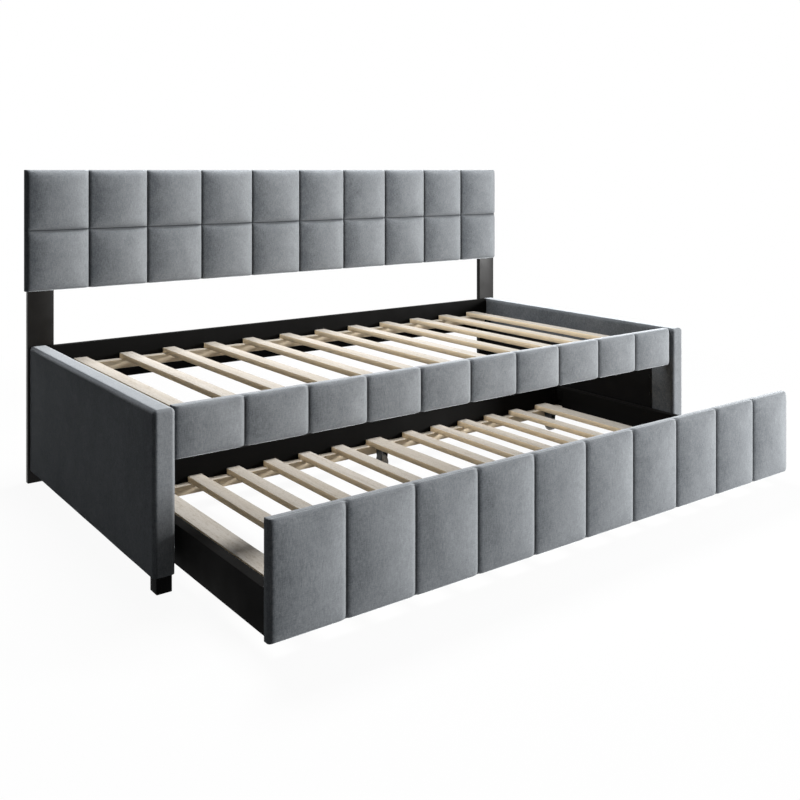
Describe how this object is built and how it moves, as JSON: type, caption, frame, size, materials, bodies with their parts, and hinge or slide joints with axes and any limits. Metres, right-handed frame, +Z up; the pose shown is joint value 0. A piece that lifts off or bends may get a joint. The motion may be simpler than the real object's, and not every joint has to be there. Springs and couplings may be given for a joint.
{
  "type": "trundle bed",
  "caption": "Upholstered daybed with a padded headboard along its back and a low slatted bed on casters that rolls out from under the front rail.",
  "frame": {"origin": "on the floor, at the middle of the box round the whole bed with the trundle pulled out as at rest", "axes": "+X along the bed to the right, +Y to the headboard at the back, +Z up"},
  "size_m": [2.066, 1.5292, 1.029],
  "materials": {
    "velvet": "soft short-pile velvet, blue grey",
    "black_cloth": "matt non-woven lining",
    "black_paint": "satin black paint on wood",
    "plywood": "raw board",
    "pine": "planed, unfinished pine",
    "black_steel": "black powder coat",
    "zinc": "zinc plated",
    "wheel_grey": "moulded light grey plastic"
  },
  "bodies": {
    "daybed": {"headboard_board": "black_paint", "headboard_padding": "velvet", "headboard_back_cloth": "black_cloth", "headboard_plates": "black_steel", "post_left": "black_paint", "post_right": "black_paint", "side_board_left": "plywood", "side_board_right": "plywood", "side_cover_left": "velvet", "side_cover_right": "velvet", "side_lining_left": "black_cloth", "side_lining_right": "black_cloth", "front_foot_left": "black_paint", "front_foot_right": "black_paint", "front_rail_board": "plywood", "front_rail_padding": "velvet", "back_rail": "black_paint", "front_ledger": "pine", "back_ledger": "pine", "slat_01": "pine", "slat_02": "pine", "slat_03": "pine", "slat_04": "pine", "slat_05": "pine", "slat_06": "pine", "slat_07": "pine", "slat_08": "pine", "slat_09": "pine", "slat_10": "pine", "slat_11": "pine", "slat_12": "pine", "corner_brackets": "black_steel", "frame_bolts": "zinc", "frame_screws": "zinc"},
    "trundle": {"trundle_front_board": "plywood", "trundle_front_padding": "velvet", "trundle_rail_left": "black_paint", "trundle_rail_right": "black_paint", "trundle_back_rail": "black_paint", "trundle_front_ledger": "pine", "trundle_back_ledger": "pine", "trundle_slats_left": "pine", "trundle_slats_right": "pine", "wide_slat_left": "pine", "wide_slat_middle": "pine", "wide_slat_right": "pine", "trundle_brackets": "black_steel", "trundle_screws": "zinc", "caster_forks": "black_steel", "caster_axles": "zinc"},
    "wheel_back_left_body": {"wheel_back_left": "wheel_grey"},
    "wheel_back_middle_body": {"wheel_back_middle": "wheel_grey"},
    "wheel_back_right_body": {"wheel_back_right": "wheel_grey"},
    "wheel_front_left_body": {"wheel_front_left": "wheel_grey"},
    "wheel_front_middle_body": {"wheel_front_middle": "wheel_grey"},
    "wheel_front_right_body": {"wheel_front_right": "wheel_grey"}
  },
  "joints": [
    {"name": "trundle_slide", "type": "slide", "parent": "daybed", "child": "trundle", "axis": [0, -1, 0], "range_m": [-0.468, 0.6]},
    {"name": "wheel_back_left_spin", "type": "hinge", "parent": "trundle", "child": "wheel_back_left_body", "pos_m": [-0.818, 0.1794, 0.025], "axis": [1, 0, 0], "range_deg": [-1080, 1380]},
    {"name": "wheel_back_middle_spin", "type": "hinge", "parent": "trundle", "child": "wheel_back_middle_body", "pos_m": [0, 0.1794, 0.025], "axis": [1, 0, 0], "range_deg": [-1080, 1380]},
    {"name": "wheel_back_right_spin", "type": "hinge", "parent": "trundle", "child": "wheel_back_right_body", "pos_m": [0.818, 0.1794, 0.025], "axis": [1, 0, 0], "range_deg": [-1080, 1380]},
    {"name": "wheel_front_left_spin", "type": "hinge", "parent": "trundle", "child": "wheel_front_left_body", "pos_m": [-0.818, -0.6516, 0.025], "axis": [1, 0, 0], "range_deg": [-1080, 1380]},
    {"name": "wheel_front_middle_spin", "type": "hinge", "parent": "trundle", "child": "wheel_front_middle_body", "pos_m": [0, -0.6516, 0.025], "axis": [1, 0, 0], "range_deg": [-1080, 1380]},
    {"name": "wheel_front_right_spin", "type": "hinge", "parent": "trundle", "child": "wheel_front_right_body", "pos_m": [0.818, -0.6516, 0.025], "axis": [1, 0, 0], "range_deg": [-1080, 1380]}
  ],
  "couplings": [
    {"joint": "wheel_back_left_spin", "follows": "trundle_slide", "rad_per_m": 40},
    {"joint": "wheel_back_middle_spin", "follows": "trundle_slide", "rad_per_m": 40},
    {"joint": "wheel_back_right_spin", "follows": "trundle_slide", "rad_per_m": 40},
    {"joint": "wheel_front_left_spin", "follows": "trundle_slide", "rad_per_m": 40},
    {"joint": "wheel_front_middle_spin", "follows": "trundle_slide", "rad_per_m": 40},
    {"joint": "wheel_front_right_spin", "follows": "trundle_slide", "rad_per_m": 40}
  ]
}
